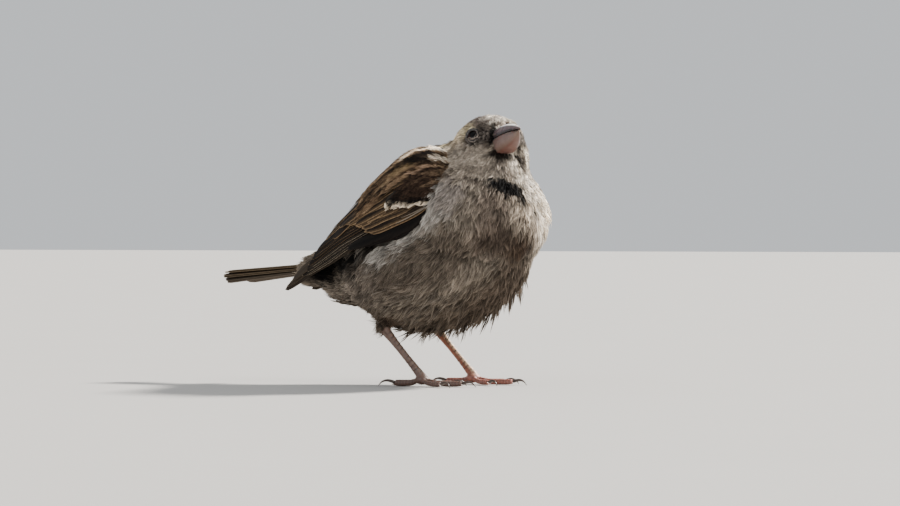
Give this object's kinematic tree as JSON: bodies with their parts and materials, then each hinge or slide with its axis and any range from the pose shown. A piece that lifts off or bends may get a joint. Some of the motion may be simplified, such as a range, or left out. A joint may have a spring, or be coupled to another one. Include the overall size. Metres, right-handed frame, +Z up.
{
  "type": "house sparrow",
  "caption": "Life-size small stocky songbird with a thick seed-eater's bill, standing with fluffed plumage, folded wings and its head turned up to the right.",
  "frame": {"origin": "on the floor, under the centre of the bounding box", "axes": "+X the way the trunk faces, +Y the bird's left, +Z up"},
  "size_m": [0.127, 0.052, 0.0914],
  "materials": {
    "plumage": "soft, downy",
    "wing_feather": "smooth vanes",
    "flight_feather": "smooth vanes",
    "tail_feather": "smooth vanes",
    "bill_horn": "satin horn",
    "eye": "wet gloss",
    "leg_skin": "scaled skin",
    "claw_horn": "satin horn"
  },
  "bodies": {
    "root": {"bill_lower": "bill_horn", "bill_upper": "bill_horn", "claw_hind_left": "claw_horn", "claw_hind_right": "claw_horn", "claw_inner_left": "claw_horn", "claw_inner_right": "claw_horn", "claw_middle_left": "claw_horn", "claw_middle_right": "claw_horn", "claw_outer_left": "claw_horn", "claw_outer_right": "claw_horn", "eye_left": "eye", "eye_right": "eye", "head": "plumage", "neck": "plumage", "rump": "plumage", "tail_centre": "tail_feather", "tail_side_left": "tail_feather", "tail_side_right": "tail_feather", "tarsus_left": "leg_skin", "tarsus_right": "leg_skin", "thigh_left": "plumage", "thigh_right": "plumage", "toe_hind_left": "leg_skin", "toe_hind_right": "leg_skin", "toe_inner_left": "leg_skin", "toe_inner_right": "leg_skin", "toe_middle_left": "leg_skin", "toe_middle_right": "leg_skin", "toe_outer_left": "leg_skin", "toe_outer_right": "leg_skin", "trunk": "plumage", "wing_coverts_left": "wing_feather", "wing_coverts_right": "wing_feather", "wing_primaries_left": "flight_feather", "wing_primaries_right": "flight_feather", "wing_secondaries_left": "wing_feather", "wing_secondaries_right": "wing_feather"}
  },
  "joints": []
}
